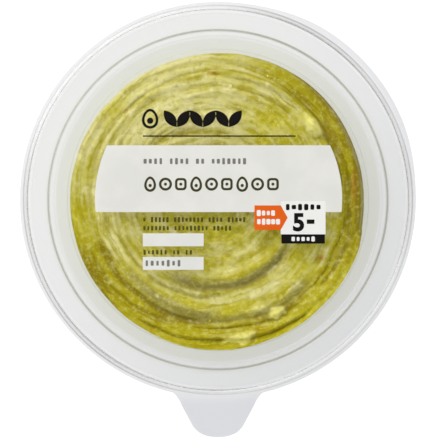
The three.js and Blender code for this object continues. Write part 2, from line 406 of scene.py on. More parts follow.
def run_tree(name, mesh, tree, values):
    """Runs a tree on a mesh and returns the plain mesh object that it makes."""
    source = new_object(name + "_source", mesh)
    modifier = source.modifiers.new(tree.name, "NODES")
    modifier.node_group = tree
    for item in tree.interface.items_tree:
        if item.in_out == "INPUT" and item.name in values:
            modifier[item.identifier] = values[item.name]
    made = plain_mesh(source)
    source.modifiers.remove(modifier)
    bpy.data.objects.remove(source)
    made.name = name
    return new_object(name, made)


# %% Turning
PATH_RADIUS_MM = 1.0
MERGE_REACH_M = 1e-6
CM3 = 1e-6


def turning_tree():
    tree, given, result = node_tree("turned_shell", {"Steps": "Int", "Path Radius": "Float"})
    circle = {"Resolution": given["Steps"], "Radius": given["Path Radius"]}
    path = add_node(tree, "GeometryNodeCurvePrimitiveCircle", **circle)
    profile = add_node(tree, "GeometryNodeMeshToCurve", Mesh=given["Geometry"])
    shell = add_node(tree, "GeometryNodeCurveToMesh", Curve=path, Profile_Curve=profile)
    merge = {"Geometry": shell, "Distance": MERGE_REACH_M}
    closed = add_node(tree, "GeometryNodeMergeByDistance", **merge)
    return end_tree(tree, given, result, closed)


def tidy_shell(piece):
    """Merges doubles, turns the faces outwards, shades them smooth and prints what there is."""
    work = bmesh.new()
    work.from_mesh(piece.data)
    bmesh.ops.remove_doubles(work, verts=work.verts, dist=MERGE_REACH_M)
    bmesh.ops.recalc_face_normals(work, faces=work.faces)
    if work.calc_volume(signed=True) < 0:
        bmesh.ops.reverse_faces(work, faces=work.faces)
    open_edges = sum(not e.is_manifold for e in work.edges)
    volume = work.calc_volume() / CM3
    work.to_mesh(piece.data)
    work.free()
    piece.data.shade_smooth()
    heights = [v.co.z / MM for v in piece.data.vertices]
    print(
        f"{piece.name}: {len(piece.data.polygons)} faces, {open_edges} open edges, "
        f"{volume:.2f} cm3, z {min(heights):.2f} to {max(heights):.2f} mm"
    )


TURNING = turning_tree()


def turned(name, points, steps, finish):
    """A half section turned about +Z into one closed shell. The tree's profile hangs down."""
    profile = bpy.data.meshes.new(name + "_profile")
    placed = [((r - PATH_RADIUS_MM) * MM, -z * MM, 0) for r, z in points]
    profile.from_pydata(placed, [(i, i + 1) for i in range(len(placed) - 1)], [])
    values = {"Steps": steps, "Path Radius": PATH_RADIUS_MM * MM, "Finish": finish}
    piece = run_tree(name, profile, TURNING, values)
    tidy_shell(piece)
    return piece


print("the tree", TURNING.name, "has", len(TURNING.nodes), "nodes")

# %% [markdown]
# The tub
#
# The real tub is pressed from one sheet: a flat foot, a wall that leans out, a small shoulder that
# the lid's panel sits over, and a flat flange. All of its bends are rounded, and those bends are
# what catches the light in clear sheet, so each one gets its own rounding here.

# %% Tub
WALL_MM = 0.6
FLOOR_MM = 0.75
FOOT_RADIUS, FOOT_ROUNDING = 40.8, 4
SHOULDER, SHOULDER_ROUNDING = (45.7, 32.25), 2.9
SEAT, SEAT_ROUNDING = (50.1, 33.25), 1.3
MOUTH_RADIUS, MOUTH_ROUNDING = 51.8, 1.4
FLANGE_MM, FLANGE_ROUNDING = 0.75, 0.25
LID_PLAY = 0.03
TUB_STEPS = 224
flange_radius = TUB_HIGH[0]
tub_top = TUB_HIGH[2] - LID_PLAY
flange_underside = TUB_HIGH[2] - FLANGE_MM

outside = [
    (0, 0, 0),
    (FOOT_RADIUS + WALL_MM, 0, FOOT_ROUNDING),
    (SHOULDER[0] + WALL_MM, SHOULDER[1] - WALL_MM, SHOULDER_ROUNDING),
    (SEAT[0] + WALL_MM, SEAT[1] - WALL_MM, SEAT_ROUNDING),
    (MOUTH_RADIUS + WALL_MM, flange_underside, MOUTH_ROUNDING),
    (flange_radius, flange_underside, FLANGE_ROUNDING),
]
inside = [
    (flange_radius, tub_top, FLANGE_ROUNDING),
    (MOUTH_RADIUS, tub_top, MOUTH_ROUNDING),
    (*SEAT, SEAT_ROUNDING),
    (*SHOULDER, SHOULDER_ROUNDING),
    (FOOT_RADIUS, FLOOR_MM, FOOT_ROUNDING),
    (0, FLOOR_MM, 0),
]
tub = turned("tub_shell", outline(outside + inside), TUB_STEPS, TUB_FINISH)

# %% [markdown]
# The lid
#
# The lid is a second pressed sheet: a sunk panel, a step up to a flat ring over the tub's flange,
# and a skirt that grips round the flange. It is turned in the same way. The outline follows the
# underside out to the trim edge and comes back along the top, one sheet thickness higher.

# %% Lid
LID_SHEET = 0.5
PANEL_RADIUS = 49.3
PANEL_HEIGHT = FILM_LOW[2] - LID_PLAY
RING_INNER, RING_OUTER = 51.0, 57.8
SNAP_RADIUS, SNAP_HEIGHT = 57.3, 36.0
SKIRT_RADIUS = 58.7
TRIM_HEIGHT = 31.75
TRIM_RADIUS = LID_HIGH[0]
LID_STEPS = 720
lid_top = LID_HIGH[2]
lean = (RING_INNER - PANEL_RADIUS) / (lid_top - PANEL_HEIGHT)
step_shift = LID_SHEET * math.hypot(1, lean) - lean * LID_SHEET

underside = [
    (0, PANEL_HEIGHT - LID_SHEET, 0),
    (PANEL_RADIUS + step_shift, PANEL_HEIGHT - LID_SHEET, 0.9),
    (RING_INNER + step_shift, lid_top - LID_SHEET, 0.5),
    (RING_OUTER - LID_SHEET, lid_top - LID_SHEET, 0.4),
    (SNAP_RADIUS - LID_SHEET, SNAP_HEIGHT, 0.5),
    (SKIRT_RADIUS - LID_SHEET, TRIM_HEIGHT - LID_SHEET, 0.6),
    (TRIM_RADIUS, TRIM_HEIGHT - LID_SHEET, 0.15),
]
top_side = [
    (TRIM_RADIUS, TRIM_HEIGHT, 0.15),
    (SKIRT_RADIUS, TRIM_HEIGHT, 0.5),
    (SNAP_RADIUS, SNAP_HEIGHT, 0.6),
    (RING_OUTER, lid_top, 1.3),
    (RING_INNER, lid_top, 0.8),
    (PANEL_RADIUS, PANEL_HEIGHT, 0.7),
    (0, PANEL_HEIGHT, 0),
]
lid = turned("lid_shell", outline(underside + top_side), LID_STEPS, LID_FINISH)

# %% [markdown]
# The grip tab
#
# The tab is part of the lid's sheet, so it isn't a second piece: the trim edge of the turned lid is
# simply drawn out to the tab's outline. That leaves one closed body with no seam. The photo also
# shows the trim a little wider at the upper right, as a soft edge that doesn't lie quite flat.

# %% Grip tab
TAB_REACH = -LID_LOW[1]
TAB_ROOT_HALF = 14.4
TAB_NECK = (10.9, -62.2)
TAB_CORNER = (8.0, -67.6)
TAB_END = (0.0, -TAB_REACH)
BULGE_MM, BULGE_MIDDLE, BULGE_SPREAD = 1.1, math.radians(42), math.radians(30)
EDGE_BAND_MM = 0.5


def tab_outline():
    """Right half of the grip tab's outline, from its root to its tip, in mm."""
    hold = (SKIRT_RADIUS + TRIM_RADIUS) / 2
    root = (TAB_ROOT_HALF, -math.sqrt(hold**2 - TAB_ROOT_HALF**2))
    root_bend = bend(root, (11.8, -59.6), TAB_NECK)
    side = bend(TAB_NECK, (9.45, -64.9), TAB_CORNER)
    return np.vstack([root_bend, side, bend(TAB_CORNER, (6.0, -TAB_REACH), TAB_END, 24)])


def trim_bulge(turns):
    """How much wider the trim is at the upper right, in mm, for angles from +X."""
    away = np.mod(turns - BULGE_MIDDLE + math.pi, 2 * math.pi) - math.pi
    return BULGE_MM * np.exp(-((away / BULGE_SPREAD) ** 4))


def draw_out_tab(piece):
    """Moves the trim edge out to the tab's outline."""
    rim = tab_outline()
    rim_turn = np.arctan2(rim[:, 0], -rim[:, 1])
    order = np.argsort(rim_turn)
    rim_turn, rim_reach = rim_turn[order], np.hypot(*rim.T)[order]
    places = np.empty(len(piece.data.vertices) * 3)
    piece.data.vertices.foreach_get("co", places)
    places = places.reshape(-1, 3)
    x, y = places[:, 0], places[:, 1]
    radius = np.hypot(x, y)
    reach = np.interp(np.abs(np.arctan2(x, -y)), rim_turn, rim_reach, right=0)
    grown = (np.maximum(reach - TRIM_RADIUS, 0) + trim_bulge(np.arctan2(y, x))) * MM
    at_edge = radius > (TRIM_RADIUS - EDGE_BAND_MM) * MM
    factor = np.where(at_edge, 1 + grown / np.maximum(radius, 1e-9), 1)
    places[:, :2] *= factor[:, None]
    piece.data.vertices.foreach_set("co", places.ravel())
    piece.data.update()
    print("tab reaches", round(-places[:, 1].min() / MM, 2), "mm")


draw_out_tab(lid)

# %% [markdown]
# Noise for shapes
#
# Mashed avocado is never smooth, and its roughness has several sizes: soft waves from the spoon,
# streaks along the swirl, and small lumps. Value noise gives all of them. It hashes the corners of
# a lattice cell and eases between them, and it runs on whole arrays, so it stays quick. The seed
# is fixed, so every run makes the same dip.

# %% Noise helpers
CORNERS = [(i, j, k) for i in (0, 1) for j in (0, 1) for k in (0, 1)]
PRIMES = (73856093, 19349663, 83492791)
SEED_PRIME = 7919


def ease(value, low, high):
    """Goes from 0 to 1 as the value goes from low to high, with soft ends."""
    share = np.clip((value - low) / (high - low), 0, 1)
    return share * share * (3 - 2 * share)


def hump(value, middle, spread):
    """1 at the middle, and close to 0 two spreads away from it."""
    return np.exp(-(((value - middle) / spread) ** 2))


def hashed(code):
    """Mixes the bits of whole numbers and returns levels from 0 to 2."""
    code = (code * 2654435761) & 0xFFFFFFFF
    code = ((code ^ (code >> 15)) * 2246822519) & 0xFFFFFFFF
    return ((code ^ (code >> 13)) & 0xFFFF) / 32767.5


def value_noise(seed, x, y, z):
    """Smooth noise from -1 to 1 on arrays, one wave a unit."""
    place = np.stack(np.broadcast_arrays(x, y, z)).astype(float)
    cell = np.floor(place)
    share = ease(place - cell, 0, 1)
    cell = cell.astype(np.int64)
    total = 0.0
    for corner in CORNERS:
        weight = 1.0
        code = np.full(place.shape[1:], seed * SEED_PRIME, np.int64)
        for axis in range(3):
            weight = weight * (share[axis] if corner[axis] else 1 - share[axis])
            code = code ^ ((cell[axis] + corner[axis]) * PRIMES[axis])
        total = total + weight * hashed(code)
    return total - 1


def layered(seed, x, y, z, layers=3):
    """Noise with finer and weaker layers on top."""
    return sum(
        value_noise(seed + i, x * 2**i, y * 2**i, z * 2**i) * 0.5**i for i in range(layers)
    )


sample = value_noise(1, np.arange(999) / 7, 0, 0)
print("noise runs from", sample.min().round(2), "to", sample.max().round(2))

# %% [markdown]
# The swirl
#
# The dip was spooned round the tub, which left long curved folds. Each fold is a raised lip with a
# groove beside it. It runs round the middle between two angles, and its radius drifts on the way.
# The list holds the folds of the imported model and a few finer ones, with a share of grey, which
# is painted shade on the flank that faces away from the light and some browning in the air, and
# how dark the painted shade in the groove is. Where the spoon lifted off, it left small lumps.
# Angles are in degrees from +X, and lengths are in mm.

# %% Folds
# Radius, from, to, drift, height, width, grey (painted shade and browning) and dark (groove shade).
FOLDS = [
    (37.3, -10, 96, 4.4, 0.9, 2.6, 0.1, 0.8),
    (36.9, -168, -88, -0.8, 0.9, 5.6, 0, 1.5),
    (34.6, -148, -84, 0.5, 0.3, 3.4, 0.9, 0.4),
    (43.0, -128, -76, -1.6, 0.7, 2.0, 0, 0.85),
    (36.4, -128, -32, 0.6, 0.7, 3.4, 0.55, 0.575),
    (26.6, -132, -24, -2.0, 1.3, 3.6, 1, 0.35),
    (33.6, 38, 116, 1.0, 0.8, 2.4, 0.1, 0.8),
    (19.0, 68, 152, 8.0, 0.6, 4.2, 0, 0.85),
    (31.2, 182, 284, -3.0, 0.7, 2.4, 0.2, 0.5),
    (38.3, 98, 168, 0.6, 0.6, 2.0, 0, 0.85),
    (14.0, -40, 130, 3.0, 0.6, 2.4, 0.1, 0.8),
    (38.8, -106, -70, 0.3, 0.5, 1.5, 0, 0.85),
    (42.3, -101, -76, 0.9, 0.5, 1.4, 0, 0.85),
    (43.2, -77, -50, 0.9, 0.8, 1.6, 0, 0.85),
    (38.4, 46, 90, 0.6, 0.5, 1.4, 0, 0.85),
    (40.7, 38, 82, 0.4, 0.4, 1.3, 0, 0.85),
    (39.3, 86, 110, -0.6, 0.4, 1.3, 0, 0.85),
]
RIPPLE_PITCH, RIPPLE_HEIGHT = 4.6, 0.2
FOLD_FADE = 0.2


def ripples(radius, degrees):
    """Shallow waves that wind outwards between the folds."""
    turns = radius / RIPPLE_PITCH - degrees / 360
    patches = 0.55 + 0.45 * np.sin(np.radians(2 * degrees) + radius / RIPPLE_PITCH)
    started = ease(radius, 0, 2 * RIPPLE_PITCH)
    return RIPPLE_HEIGHT * started * patches * np.sin(2 * np.pi * turns)


def folded(x, y):
    """Height over the level, and the masks of painted crease shade and of grey (painted shade and
    browning).
    """
    degrees = np.degrees(np.arctan2(y, x))
    lift = ripples(np.hypot(x, y), degrees)
    crease_shade, grey_mask = np.zeros_like(x), np.zeros_like(x)
    wavy = np.hypot(x, y) + 0.5 * value_noise(11, x / 6, y / 6, 0.5)
    for radius, start, end, drift, height, width, grey, dark in FOLDS:
        along = np.mod(degrees - start, 360) / (end - start)
        inside = along <= 1
        along = np.clip(along, 0, 1)
        ends = ease(np.minimum(along, 1 - along), 0, FOLD_FADE) * inside
        across = (wavy - radius - drift * along**2) / width
        lip, groove = hump(across, -0.5, 0.6), hump(across, 0.25, 0.24)
        lift = lift + height * ends * (lip - 0.8 * groove)
        # Painted shade in the groove of each fold.
        crease_shade = np.maximum(crease_shade, dark * ends * hump(across, 0.18, 0.18))
        # Grey is painted shade on the flank that faces away from the light, with some browning.
        flat_hump = np.exp(-(((across - 0.05) / 0.5) ** 4))
        grey_mask = np.maximum(grey_mask, grey * ends * flat_hump)
    return lift, crease_shade, grey_mask


print(len(FOLDS), "folds, the highest", max(fold[4] for fold in FOLDS), "mm")

# %% Lumps
# Place, reach and height.
LUMPS = [
    (28.8, 22.4, 2.5, 1.9),
    (-21.0, 32.6, 2.0, 0.7),
    (17.9, -34.1, 1.8, 2.0),
    (13.6, -32.8, 1.6, 0.8),
    (7.0, -42.2, 2.4, 1.5),
    (2.6, -42.3, 1.6, 0.9),
    (9.6, -40.6, 1.6, 1.0),
    (-1.6, -41.8, 1.1, 0.6),
]


def lumped(x, y):
    """Height of the lumps, and the shade at the lower right of each."""
    lumps, shade = np.zeros_like(x), np.zeros_like(x)
    wobble_x, wobble_y = (0.8 * value_noise(seed, x / 1.5, y / 1.5, 0.5) for seed in (12, 13))
    for lump_x, lump_y, reach, height in LUMPS:
        dx, dy = x - lump_x + wobble_x, y - lump_y + wobble_y
        out_x, out_y = np.array((lump_x, lump_y)) / math.hypot(lump_x, lump_y)
        outwards, along = dx * out_x + dy * out_y, dy * out_x - dx * out_y
        away = np.hypot(outwards / 0.85, along / 1.35) / reach
        lumps = lumps + height * np.exp(-(away**2.4))
        side = ease((dx - dy) / reach, -0.3, 1.2) * ease(height, 0.5, 1.3)
        shade = np.maximum(shade, 0.8 * hump(away, 1.2, 0.3) * side)
    return lumps, shade


print(len(LUMPS), "lumps, the highest", max(lump[3] for lump in LUMPS), "mm")

# %% [markdown]
# The strokes of the spoon
#
# Between the folds the mash is full of finer strokes. They are noise that is stretched along
# circles: it changes fast with the radius and slowly with the angle, so it draws arcs. The radius
# is warped a little first, because arcs that are too even look like wood.

# %% Strokes
SWIRL_MIDDLE = (-2, 1.5)


def strokes(x, y, cos, sin):
    """Layers of noise by name, from broad waves to fine grains."""
    warped = np.hypot(x - SWIRL_MIDDLE[0], y - SWIRL_MIDDLE[1])
    warped = warped + 0.7 * value_noise(32, x / 5, y / 5, 0.4)
    warped = warped + 0.3 * value_noise(33, x / 1.6, y / 1.6, 0.4)
    cuts = sum(
        ease(1 - np.abs(value_noise(seed, warped / pitch, cos * 1.1, sin * 1.1)), 0.86, 1)
        for seed, pitch in ((91, 2.7), (92, 1.9))
    )
    return {
        "broad": value_noise(31, x / 9, y / 9, 0.1),
        "streaks": layered(41, warped / 1.5, cos * 2.2, sin * 2.2),
        "fine": layered(51, warped / 0.6, cos * 5, sin * 5, 2),
        "cuts": cuts * ease(value_noise(93, x / 6, y / 6, 0.8), -0.1, 0.5),
        "patches": layered(61, x / 3.4, y / 3.4, 0.7, 2),
        "grains": value_noise(71, x / 0.8, y / 0.8, 0.2),
    }


# %% [markdown]
# Where the mash is pale and where it is deep
#
# The mash is palest at the upper left, where it was whipped most and faces the light, and there
# it is made paler still as painted light. It turns deep olive in the cuts of the spoon, and as
# painted shade in the creases and in a band along the wall.
# Those two masks are worked out here from the strokes and the place. The deep one takes away from
# the pale one, so dark strokes stay green instead of going grey.


# %% Tones
def tones(x, y, share, cos, sin, stroke, crease_shade):
    """The pale mask, partly painted light, and the deep, mostly painted shade. Share is the part of
    the way out to the wall.
    """
    radius = np.hypot(x, y)
    streaks, fine, cuts = stroke["streaks"], stroke["fine"], stroke["cuts"]
    outer, rim = ease(radius, 36.5, 40), ease(radius, 40.5, 43)
    # Painted light: the upper left faces the lamp, so the mash is made paler there.
    upper_left = ease((0.82 * y - 0.57 * x) / 43, 0.08, 0.95)
    facing = (0.9 * y - 0.42 * x) / radius

    # Whipped streaks and patches, with painted light added towards the upper left.
    whipped_and_lit = 0.7 * streaks + (0.45 + 0.3 * outer) * fine - 0.3 * cuts
    whipped_and_lit = whipped_and_lit + (0.65 - 0.2 * outer) * stroke["patches"]
    whipped_and_lit = whipped_and_lit * (1 - 0.3 * upper_left) + 0.85 * upper_left
    whipped_and_lit = whipped_and_lit - 0.75 * outer * (1 - upper_left) + 0.12 * (1 - outer) - 0.3 * rim
    above_band = 1.3 * ease(y, 15, 20) * hump(radius, 23, 7) * ease(cos, 0.45, 0.05)
    # Painted light on the flank between the lower folds that faces the lamp.
    lit_between_folds = 0.4 * hump(radius, 30.5, 3) * ease(-sin, 0.4, 0.9)
    at_left = 1.2 * hump(radius, 35.2, 2.2) * ease(-cos, 0.78, 0.94) * ease(sin, 0.3, 0.0)
    at_bottom = 0.9 * hump(radius, 35.6, 2.4) * ease(-sin, 0.6, 0.95) * ease(cos, 0.4, 0.0)
    whipped_and_lit = whipped_and_lit + above_band + lit_between_folds + at_left - at_bottom
    # A painted highlight along the edge that faces the lamp.
    lit_edge = ease(facing, 0.88, 1.0) * ease(share, 0.9, 0.96)
    pale = np.maximum(ease(whipped_and_lit, -0.35, 1.5), lit_edge)

    # Painted shade in a band along the wall, away from the upper left.
    shadowed = outer * (1 - upper_left) * (0.36 + 0.5 * ease(streaks, 0.3, -0.7))
    shadowed = shadowed * (1 - rim * ease(cos - sin, 0.3, 1.0) * ease(-sin, 0.2, 0.7))
    shadowed = shadowed + 0.5 * rim * ease(cos + 0.5 * sin, 0.6, 0.95)
    thin = (0.4 + 0.3 * outer) * ease(0.7 * streaks + fine, -0.2, -1.2)
    # Deep is painted shade in the creases, below the lumps and along the wall, with dark streaks and
    # cuts.
    deep = np.clip(crease_shade + shadowed + thin + (0.45 - 0.25 * upper_left) * cuts, 0, 1)
    deep = deep * (1 - 0.25 * upper_left)
    return pale * (1 - 0.8 * deep), deep


# Flecks of pepper: place, reach along X and Y, and strength.
PEPPER_FLECKS = [
    (31.2, -17.5, 0.9, 1.0, 0.7),
    (-0.9, 38.6, 1.5, 0.6, 0.7),
    (41.3, 4.0, 0.7, 5.0, 0.8),
    (-27.4, 27.2, 1.1, 0.7, 0.5),
    (-15, 25.8, 1.3, 0.6, 0.35),
    (14.5, -39.5, 5.0, 0.6, 0.3),
]


def rust(x, y):
    """Mask of the orange and brown flecks."""
    wobble = 0.5 * value_noise(81, x / 1.2, y / 1.2, 0.9)
    flecks = [
        strength * np.exp(-(((x - fleck_x) / wide) ** 2) - ((y - fleck_y) / high) ** 2)
        for fleck_x, fleck_y, wide, high, strength in PEPPER_FLECKS
    ]
    return np.clip(sum(flecks) * (1 + wobble), 0, 1)


print(len(PEPPER_FLECKS), "flecks of pepper")

# %% [markdown]
# The dip
#
# The top is a polar grid: rings from the middle to the wall, with one point on each spoke. The
# outermost ring follows an uneven line up the wall, because a spoon never fills a tub level, and
# a short table says where it stands higher or lower. The side then goes down the wall and reaches
# just into it, so no gap of air shows through the clear sheet. The masks are stored on the points,
# where the finish can read them.

# %% Dip top
RINGS, SPOKES = 150, 560
WALL_REACH = 0.17
HEAP_RADIUS = 37.5
DIP_LEVEL = 27.0
LEVEL_RADIUS = 44.9
FULL_SIDE = math.radians(235)
# Degrees from +X, and how much higher the edge of the dip stands on the wall there, in mm.
EDGE_RISE = [
    *[(0, -2.4), (12, -1.6), (30, -0.6), (50, 1.0), (72, 0), (96, 0), (110, -1.6)],
    *[(120, -0.9), (137, -2.4), (148, -0.4), (170, 0.8), (190, -0.3), (240, 0.2), (256, 2.2)],
    *[(275, 3.2), (289, 1.2), (301, 2.8), (313, 1.0), (325, 2.0), (341, 3.6), (350, -0.6)],
]
wall_lean = (SHOULDER[0] - FOOT_RADIUS) / (SHOULDER[1] - FLOOR_MM)
spoke = np.arange(SPOKES) / SPOKES * 2 * np.pi


def wall_radius(height):
    return FOOT_RADIUS + wall_lean * (height - FLOOR_MM)


def wall_edge():
    """How high the dip stands against the wall at each spoke."""
    cos, sin = np.cos(spoke), np.sin(spoke)
    waves = value_noise(21, cos * 3, sin * 3, 0.3) + 0.6 * value_noise(22, cos * 8, sin * 8, 0.3)
    rise = np.interp(np.degrees(spoke), *np.array(EDGE_RISE).T, period=360)
    return DIP_LEVEL - 1.0 + 1.1 * waves + 1.3 * np.cos(spoke - FULL_SIDE) + rise


def dip_top(edge_height):
    """Points of the polar grid in mm, and the masks on them."""
    cos, sin = np.cos(spoke), np.sin(spoke)
    share = (np.arange(RINGS) + 1)[:, None] / RINGS
    radius = share * (wall_radius(edge_height) + WALL_REACH)
    x, y = radius * cos, radius * sin
    lift, crease_shade, grey = folded(x, y)
    lumps, shade = lumped(x, y)
    stroke = strokes(x, y, cos, sin)

    weights = dict(broad=0.25, streaks=0.12, fine=0.05, cuts=-0.16, patches=0.15, grains=0.05)
    rough = sum(weight * stroke[name] for name, weight in weights.items())
    heap = 1 - (radius / HEAP_RADIUS) ** 2 + 0.7 * ease(radius, HEAP_RADIUS, LEVEL_RADIUS)
    calm = 1 - 0.6 * ease(share, 0.96, 1.0)
    plain = DIP_LEVEL + heap + (lift + lumps + rough) * calm
    climb = ease(share, 0.955, 1.0) ** 2
    height = plain * (1 - climb) + edge_height * climb

    pale, deep = tones(x, y, share, cos, sin, stroke, np.maximum(crease_shade, shade))
    masks = {"pale": pale, "deep": deep, "grey": grey, "lump": ease(lumps, 0.3, 1.15)}
    return np.stack([x, y, height], axis=-1), {**masks, "rust": rust(x, y)}


edge_height = wall_edge()
TOP, TOP_MASKS = dip_top(edge_height)
print("the edge stands", edge_height.min().round(1), "to", edge_height.max().round(1), "mm high")

# %% Dip
SIDE_ROWS = 10
SIDE_FOOT = 4.9
UNDERSIDE_RADIUS = 20.0
SMEAR_SIZE = (7, 7, 3)


def turned_row(radius, height):
    """One ring of points at a radius and a height, which may differ from spoke to spoke."""
    x, y = radius * np.cos(spoke), radius * np.sin(spoke)
    return np.stack(np.broadcast_arrays(x, y, height), axis=-1)


def side_rows():
    """Rings down the wall, round the foot and in under the dip."""
    rows = []
    for i in range(1, SIDE_ROWS + 1):
        height = edge_height + (SIDE_FOOT - edge_height) * i / SIDE_ROWS
        rows.append(turned_row(wall_radius(height) + WALL_REACH, height))
    start = (wall_radius(SIDE_FOOT), SIDE_FOOT)
    foot = bend(start, (FOOT_RADIUS, FLOOR_MM), (FOOT_RADIUS - FOOT_ROUNDING, FLOOR_MM), 6)
    for radius, height in [*foot[1:], (UNDERSIDE_RADIUS, FLOOR_MM)]:
        rows.append(turned_row(radius + WALL_REACH, height - WALL_REACH))
    return rows


def grid_faces(index):
    """Four-sided faces between the rings of a grid that closes on itself."""
    beside = np.roll(index, -1, axis=1)
    return np.stack([index[:-1], index[1:], beside[1:], beside[:-1]], axis=-1).reshape(-1, 4)


def build_dip():
    rows = np.stack([*TOP, *side_rows()])
    top_middle = [0, 0, TOP[0, :, 2].mean()]
    points = np.vstack([[top_middle], rows.reshape(-1, 3), [[0, 0, FLOOR_MM - WALL_REACH]]])
    index = 1 + np.arange(len(rows) * SPOKES).reshape(len(rows), SPOKES)
    caps = [(0, a, b) for a, b in zip(index[0].tolist(), np.roll(index[0], -1).tolist())]
    last = len(points) - 1
    caps += [(last, b, a) for a, b in zip(index[-1].tolist(), np.roll(index[-1], -1).tolist())]
    mesh = bpy.data.meshes.new("guacamole_dip")
    mesh.from_pydata((points * MM).tolist(), [], grid_faces(index).tolist() + caps)
    smears = layered(101, *(points / SMEAR_SIZE).T)
    side_masks = {"pale": 0.6 * ease(smears, 0.0, 1.1), "deep": ease(smears, -0.1, -1.2)}
    for name, mask in TOP_MASKS.items():
        values = np.zeros(len(points)) + side_masks.get(name, 0)
        values[1 : 1 + mask.size] = mask.ravel()
        mesh.attributes.new(name, "FLOAT", "POINT").data.foreach_set("value", values)
    return new_object("guacamole_dip", mesh)


dip = build_dip()

# %% [markdown]
# The look of the dip
#
# Avocado flesh is yellow-green, and here it is warm and rather pale. Five masks steer the
# colour: pale where the mash is whipped, with painted light at the upper left, deep olive as
# painted shade in the creases and along the wall, grey-brown as painted shade on the far flanks
# of the folds with some browning in the air, light yellow on the lumps, and rust for the flecks
# of pepper. Noise at five sizes adds the pulp and its specks. Light goes a little way into the
# mash, so there is some subsurface, and a thin wet coat gives small highlights.

# %% Dip finish
OLIVE, YELLOW_OLIVE = srgb(171, 161, 0), srgb(187, 178, 34)
# Whipped-and-lit, crease shade and browned-and-shade paint light and shade along with the mash's own
# tones.
WHIPPED_AND_LIT, FRESH = srgb(221, 214, 153), srgb(190, 182, 48)
CREASE_SHADE_AND_STREAK, DEEP_CREASE_SHADE = srgb(148, 136, 0), srgb(126, 108, 0)
BROWNED_AND_SHADE, LUMP = srgb(142, 131, 66), srgb(226, 219, 122)
LIGHT_PULP, DARK_PULP = srgb(222, 214, 116), srgb(146, 130, 2)
PEPPER, FLECK, SPECK = srgb(158, 102, 10), srgb(222, 214, 140), srgb(232, 226, 164)
PULP_DEPTH_M = 0.0006


def dip_finish():
    finish = Finish("guacamole_mash")
    cloud = finish.grain(110, detail=4, rough=0.6)
    pulp = finish.grain(620, detail=5, rough=0.65)
    fleck = finish.grain(1500, detail=3, rough=0.6)
    patch = finish.grain(240, detail=3, rough=0.6)
    speck = finish.grain(430, detail=1, rough=0.4)
    pale, deep = finish.attribute("pale"), finish.attribute("deep")
    base = finish.blend(cloud.smooth(0.35, 0.65), OLIVE, YELLOW_OLIVE)
    for share, colour in [
        (pale * 0.85, WHIPPED_AND_LIT),
        (patch.smooth(0.5, 0.68) * pale * 0.45, FRESH),
        (deep * 0.85, CREASE_SHADE_AND_STREAK),
        (deep.smooth(0.7, 1.0) * 0.7, DEEP_CREASE_SHADE),
        (finish.attribute("grey") * 0.8, BROWNED_AND_SHADE),
        (finish.attribute("lump") * 0.9, LUMP),
        (pulp.smooth(0.48, 0.68) * 0.4, LIGHT_PULP),
        (pulp.smooth(0.5, 0.32) * 0.4, DARK_PULP),
        (finish.attribute("rust"), PEPPER),
        (fleck.smooth(0.58, 0.72) * 0.35, FLECK),
        (speck.smooth(0.56, 0.76) * (0.2 + pale) * 0.6, SPECK),
    ]:
        base = finish.blend(share, base, colour)
    finish.set(
        Base_Color=base,
        Roughness=pulp.smooth(0.3, 0.7, 0.34, 0.52),
        Subsurface_Weight=0.08,
        Subsurface_Radius=(1.0, 0.8, 0.25),
        Subsurface_Scale=0.001,
        Coat_Weight=pulp.smooth(0.5, 0.66, 0.0, 0.45),
        Coat_Roughness=0.12,
        Specular_IOR_Level=0.15,
        IOR=1.36,
    )
    finish.bump(pulp * 0.7 + fleck * 0.3, 0.5, PULP_DEPTH_M)
    return finish.material


dip.data.materials.append(dip_finish())
tidy_shell(dip)

# %% [markdown]
# Crumbs of avocado
#
# Small firm bits stay whole in the mash. They are alike but never the same, and there are hundreds,
# which is what Geometry Nodes does well: points are scattered on a coarse copy of the top, and each
# gets a flattened ball with its own size, stretch and turn. The copy is sunk a little, so most
# crumbs only just break the surface. Towards the upper left they are made paler, as painted light
# on the side that faces the lamp, as the mash is.

# %% Crumbs
CRUMB_DENSITY = 6000.0
CRUMB_RADIUS_MM = 0.6
CRUMB_SEED = 5
SUNK_MM = 0.25


def random_vector(tree, low, high, seed):
    """A random vector for each instance, between two corners."""
    inputs = {"Min": low, "Max": high, "Seed": seed}
    return add_node(tree, "FunctionNodeRandomValue", {"data_type": "FLOAT_VECTOR"}, **inputs)


def crumb_tree():
    inputs = {"Density": "Float", "Size": "Float", "Seed": "Int"}
    tree, given, result = node_tree("scattered_crumbs", inputs)
    surface = {"Mesh": given["Geometry"], "Density": given["Density"], "Seed": given["Seed"]}
    points = add_node(tree, "GeometryNodeDistributePointsOnFaces", **surface)
    ball = add_node(tree, "GeometryNodeMeshIcoSphere", Radius=given["Size"], Subdivisions=2)
    turn = random_vector(tree, (-0.4, -0.4, 0.0), (0.4, 0.4, 6.3), given["Seed"])
    stretch = random_vector(tree, (0.6, 0.4, 0.25), (1.6, 0.9, 0.4), given["Seed"])
    inputs = {"Points": points, "Instance": ball, "Rotation": turn, "Scale": stretch}
    placed = add_node(tree, "GeometryNodeInstanceOnPoints", **inputs)
    return end_tree(tree, given, result, placed)


def crumb_finish():
    finish = Finish("avocado_crumb")
    tone = finish.grain(260, detail=2)
    x, y = finish.across()
    base = finish.blend(tone.smooth(0.4, 0.6), srgb(182, 172, 40), srgb(197, 187, 70))
    # Painted light: paler towards the upper left, which faces the lamp.
    base = finish.blend((y - x).smooth(-0.02, 0.03) * 0.9, base, srgb(228, 222, 160))
    finish.set(Base_Color=base, Roughness=0.34, Subsurface_Weight=0.1, Subsurface_Scale=0.001)
    return finish.material


